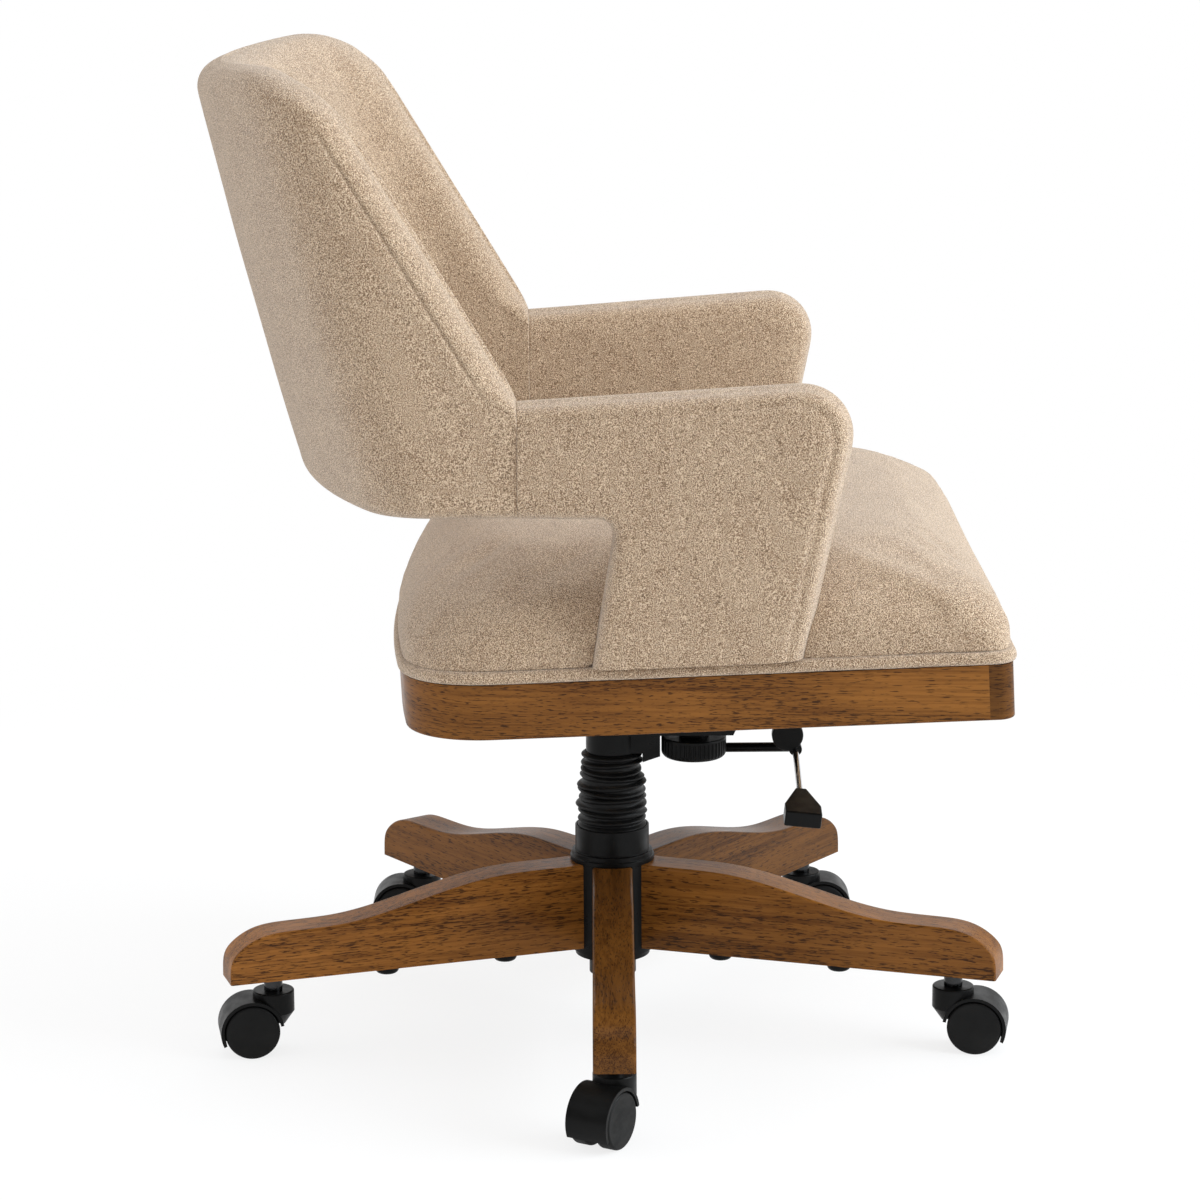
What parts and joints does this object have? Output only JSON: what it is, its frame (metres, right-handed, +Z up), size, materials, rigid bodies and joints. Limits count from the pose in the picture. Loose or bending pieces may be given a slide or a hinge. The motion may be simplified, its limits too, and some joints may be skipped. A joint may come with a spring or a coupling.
{
  "type": "desk chair",
  "caption": "Swivel desk chair with an upholstered wrap-around back, padded arms, a wooden seat rail and a wooden star base on castors.",
  "frame": {"origin": "on the floor under the column's axis", "axes": "+Z up, the chair faces -Y, its left side is at +X"},
  "size_m": [0.7052, 0.7309, 0.9071],
  "materials": {
    "wood": "satin lacquer over brown stained beech, fine pores",
    "fabric": "oatmeal chenille weave with light and dark specks",
    "black_plastic": "satin moulded black plastic",
    "black_steel": "semi-gloss black powder coat",
    "black_rubber": "matt ribbed black rubber",
    "tread": "dull black castor tread",
    "bright_steel": "polished plated steel",
    "plain_steel": "plain turned steel",
    "bearing_plastic": "natural acetal",
    "ply": "unfinished moulded plywood",
    "frame_wood": "unfinished beech"
  },
  "bodies": {
    "base": {"base_spider": "black_steel", "leg_1": "wood", "leg_2": "wood", "leg_3": "wood", "leg_4": "wood", "leg_5": "wood", "leg_bolts": "black_plastic", "castor_stems": "bright_steel", "lift_outer_tube": "black_steel", "lift_guide_bush": "bearing_plastic", "lift_thrust_bearing": "plain_steel", "hub_collar": "black_plastic"},
    "lift_rod": {"lift_piston_rod": "plain_steel", "column_boot": "black_rubber"},
    "mechanism": {"lift_cylinder": "black_steel", "tilt_housing": "black_steel", "tilt_pivot_pin": "plain_steel", "tension_spring": "plain_steel"},
    "release_pin": {"release_pin": "plain_steel"},
    "knob": {"tension_knob": "black_plastic", "tension_bolt": "plain_steel"},
    "tension_nut": {"tension_nut": "plain_steel"},
    "lever": {"lever_arm": "black_steel", "lever_boss": "black_plastic", "lever_rod": "bright_steel", "lever_paddle": "black_plastic"},
    "seat": {"rail_bent": "wood", "rail_front": "wood", "frame_braces": "frame_wood", "seat_plate": "black_steel", "frame_bolts": "plain_steel", "seat_board": "ply", "seat_welt": "fabric", "seat_cushion": "fabric", "arm_frames": "frame_wood", "arm_left": "fabric", "arm_right": "fabric", "back_outer_panel": "fabric", "back_shell": "ply", "back_pad": "fabric"},
    "castor_1": {"castor_1_hood": "black_plastic", "castor_1_axle": "plain_steel"},
    "castor_1_right": {"castor_1_wheel_right": "tread"},
    "castor_1_left": {"castor_1_wheel_left": "tread"},
    "castor_2": {"castor_2_hood": "black_plastic", "castor_2_axle": "plain_steel"},
    "castor_2_right": {"castor_2_wheel_right": "tread"},
    "castor_2_left": {"castor_2_wheel_left": "tread"},
    "castor_3": {"castor_3_hood": "black_plastic", "castor_3_axle": "plain_steel"},
    "castor_3_right": {"castor_3_wheel_right": "tread"},
    "castor_3_left": {"castor_3_wheel_left": "tread"},
    "castor_4": {"castor_4_hood": "black_plastic", "castor_4_axle": "plain_steel"},
    "castor_4_right": {"castor_4_wheel_right": "tread"},
    "castor_4_left": {"castor_4_wheel_left": "tread"},
    "castor_5": {"castor_5_hood": "black_plastic", "castor_5_axle": "plain_steel"},
    "castor_5_right": {"castor_5_wheel_right": "tread"},
    "castor_5_left": {"castor_5_wheel_left": "tread"}
  },
  "joints": [
    {"name": "seat_swivel", "type": "hinge", "parent": "base", "child": "lift_rod", "pos_m": [0, 0, 0.055], "axis": [0, 0, 1], "continuous": true},
    {"name": "seat_height", "type": "slide", "parent": "lift_rod", "child": "mechanism", "axis": [0, 0, 1], "range_m": [-0.03, 0.05], "deforming": ["column_boot"]},
    {"name": "seat_tilt", "type": "hinge", "parent": "mechanism", "child": "seat", "pos_m": [0, -0.118, 0.325], "axis": [-1, 0, 0], "range_deg": [0, 10], "stiffness_Nm_per_rad": 260, "springref_deg": -11.46, "deforming": ["tension_spring"]},
    {"name": "knob_turn", "type": "hinge", "parent": "mechanism", "child": "knob", "pos_m": [0, -0.0767, 0.25], "axis": [0, 0, 1], "range_deg": [0, 1080]},
    {"name": "nut_climb", "type": "slide", "parent": "mechanism", "child": "tension_nut", "axis": [0, 0, 1], "range_m": [0, 0.006]},
    {"name": "lever_lift", "type": "hinge", "parent": "mechanism", "child": "lever", "pos_m": [0, -0.034, 0.296], "axis": [-1, 0, 0], "range_deg": [0, 6], "stiffness_Nm_per_rad": 6, "springref_deg": -11.46},
    {"name": "pin_press", "type": "slide", "parent": "mechanism", "child": "release_pin", "axis": [0, 0, 1], "range_m": [-0.0045, 0]},
    {"name": "castor_1_swivel", "type": "hinge", "parent": "base", "child": "castor_1", "pos_m": [-0.328, 0, 0.06], "axis": [0, 0, 1], "continuous": true},
    {"name": "castor_1_right_spin", "type": "hinge", "parent": "castor_1", "child": "castor_1_right", "pos_m": [-0.34619, 0.0105, 0.025], "axis": [0.5, 0.866, 0], "continuous": true},
    {"name": "castor_1_left_spin", "type": "hinge", "parent": "castor_1", "child": "castor_1_left", "pos_m": [-0.34619, 0.0105, 0.025], "axis": [0.5, 0.866, 0], "continuous": true},
    {"name": "castor_2_swivel", "type": "hinge", "parent": "base", "child": "castor_2", "pos_m": [-0.10136, -0.31195, 0.06], "axis": [0, 0, 1], "continuous": true},
    {"name": "castor_2_right_spin", "type": "hinge", "parent": "castor_2", "child": "castor_2_right", "pos_m": [-0.105, -0.33263, 0.025], "axis": [-0.9848, 0.1736, 0], "continuous": true},
    {"name": "castor_2_left_spin", "type": "hinge", "parent": "castor_2", "child": "castor_2_left", "pos_m": [-0.105, -0.33263, 0.025], "axis": [-0.9848, 0.1736, 0], "continuous": true},
    {"name": "castor_3_swivel", "type": "hinge", "parent": "base", "child": "castor_3", "pos_m": [0.26536, -0.19279, 0.06], "axis": [0, 0, 1], "continuous": true},
    {"name": "castor_3_right_spin", "type": "hinge", "parent": "castor_3", "child": "castor_3_right", "pos_m": [0.26536, -0.21379, 0.025], "axis": [-1, 0, 0], "continuous": true},
    {"name": "castor_3_left_spin", "type": "hinge", "parent": "castor_3", "child": "castor_3_left", "pos_m": [0.26536, -0.21379, 0.025], "axis": [-1, 0, 0], "continuous": true},
    {"name": "castor_4_swivel", "type": "hinge", "parent": "base", "child": "castor_4", "pos_m": [0.26536, 0.19279, 0.06], "axis": [0, 0, 1], "continuous": true},
    {"name": "castor_4_right_spin", "type": "hinge", "parent": "castor_4", "child": "castor_4_right", "pos_m": [0.26536, 0.21379, 0.025], "axis": [1, 0, 0], "continuous": true},
    {"name": "castor_4_left_spin", "type": "hinge", "parent": "castor_4", "child": "castor_4_left", "pos_m": [0.26536, 0.21379, 0.025], "axis": [1, 0, 0], "continuous": true},
    {"name": "castor_5_swivel", "type": "hinge", "parent": "base", "child": "castor_5", "pos_m": [-0.10136, 0.31195, 0.06], "axis": [0, 0, 1], "continuous": true},
    {"name": "castor_5_right_spin", "type": "hinge", "parent": "castor_5", "child": "castor_5_right", "pos_m": [-0.105, 0.33263, 0.025], "axis": [0.9848, 0.1736, 0], "continuous": true},
    {"name": "castor_5_left_spin", "type": "hinge", "parent": "castor_5", "child": "castor_5_left", "pos_m": [-0.105, 0.33263, 0.025], "axis": [0.9848, 0.1736, 0], "continuous": true}
  ],
  "couplings": [
    {"joint": "nut_climb", "follows": "knob_turn", "m_per_rad": 0.0002785},
    {"joint": "pin_press", "follows": "lever_lift", "m_per_rad": -0.0387}
  ]
}
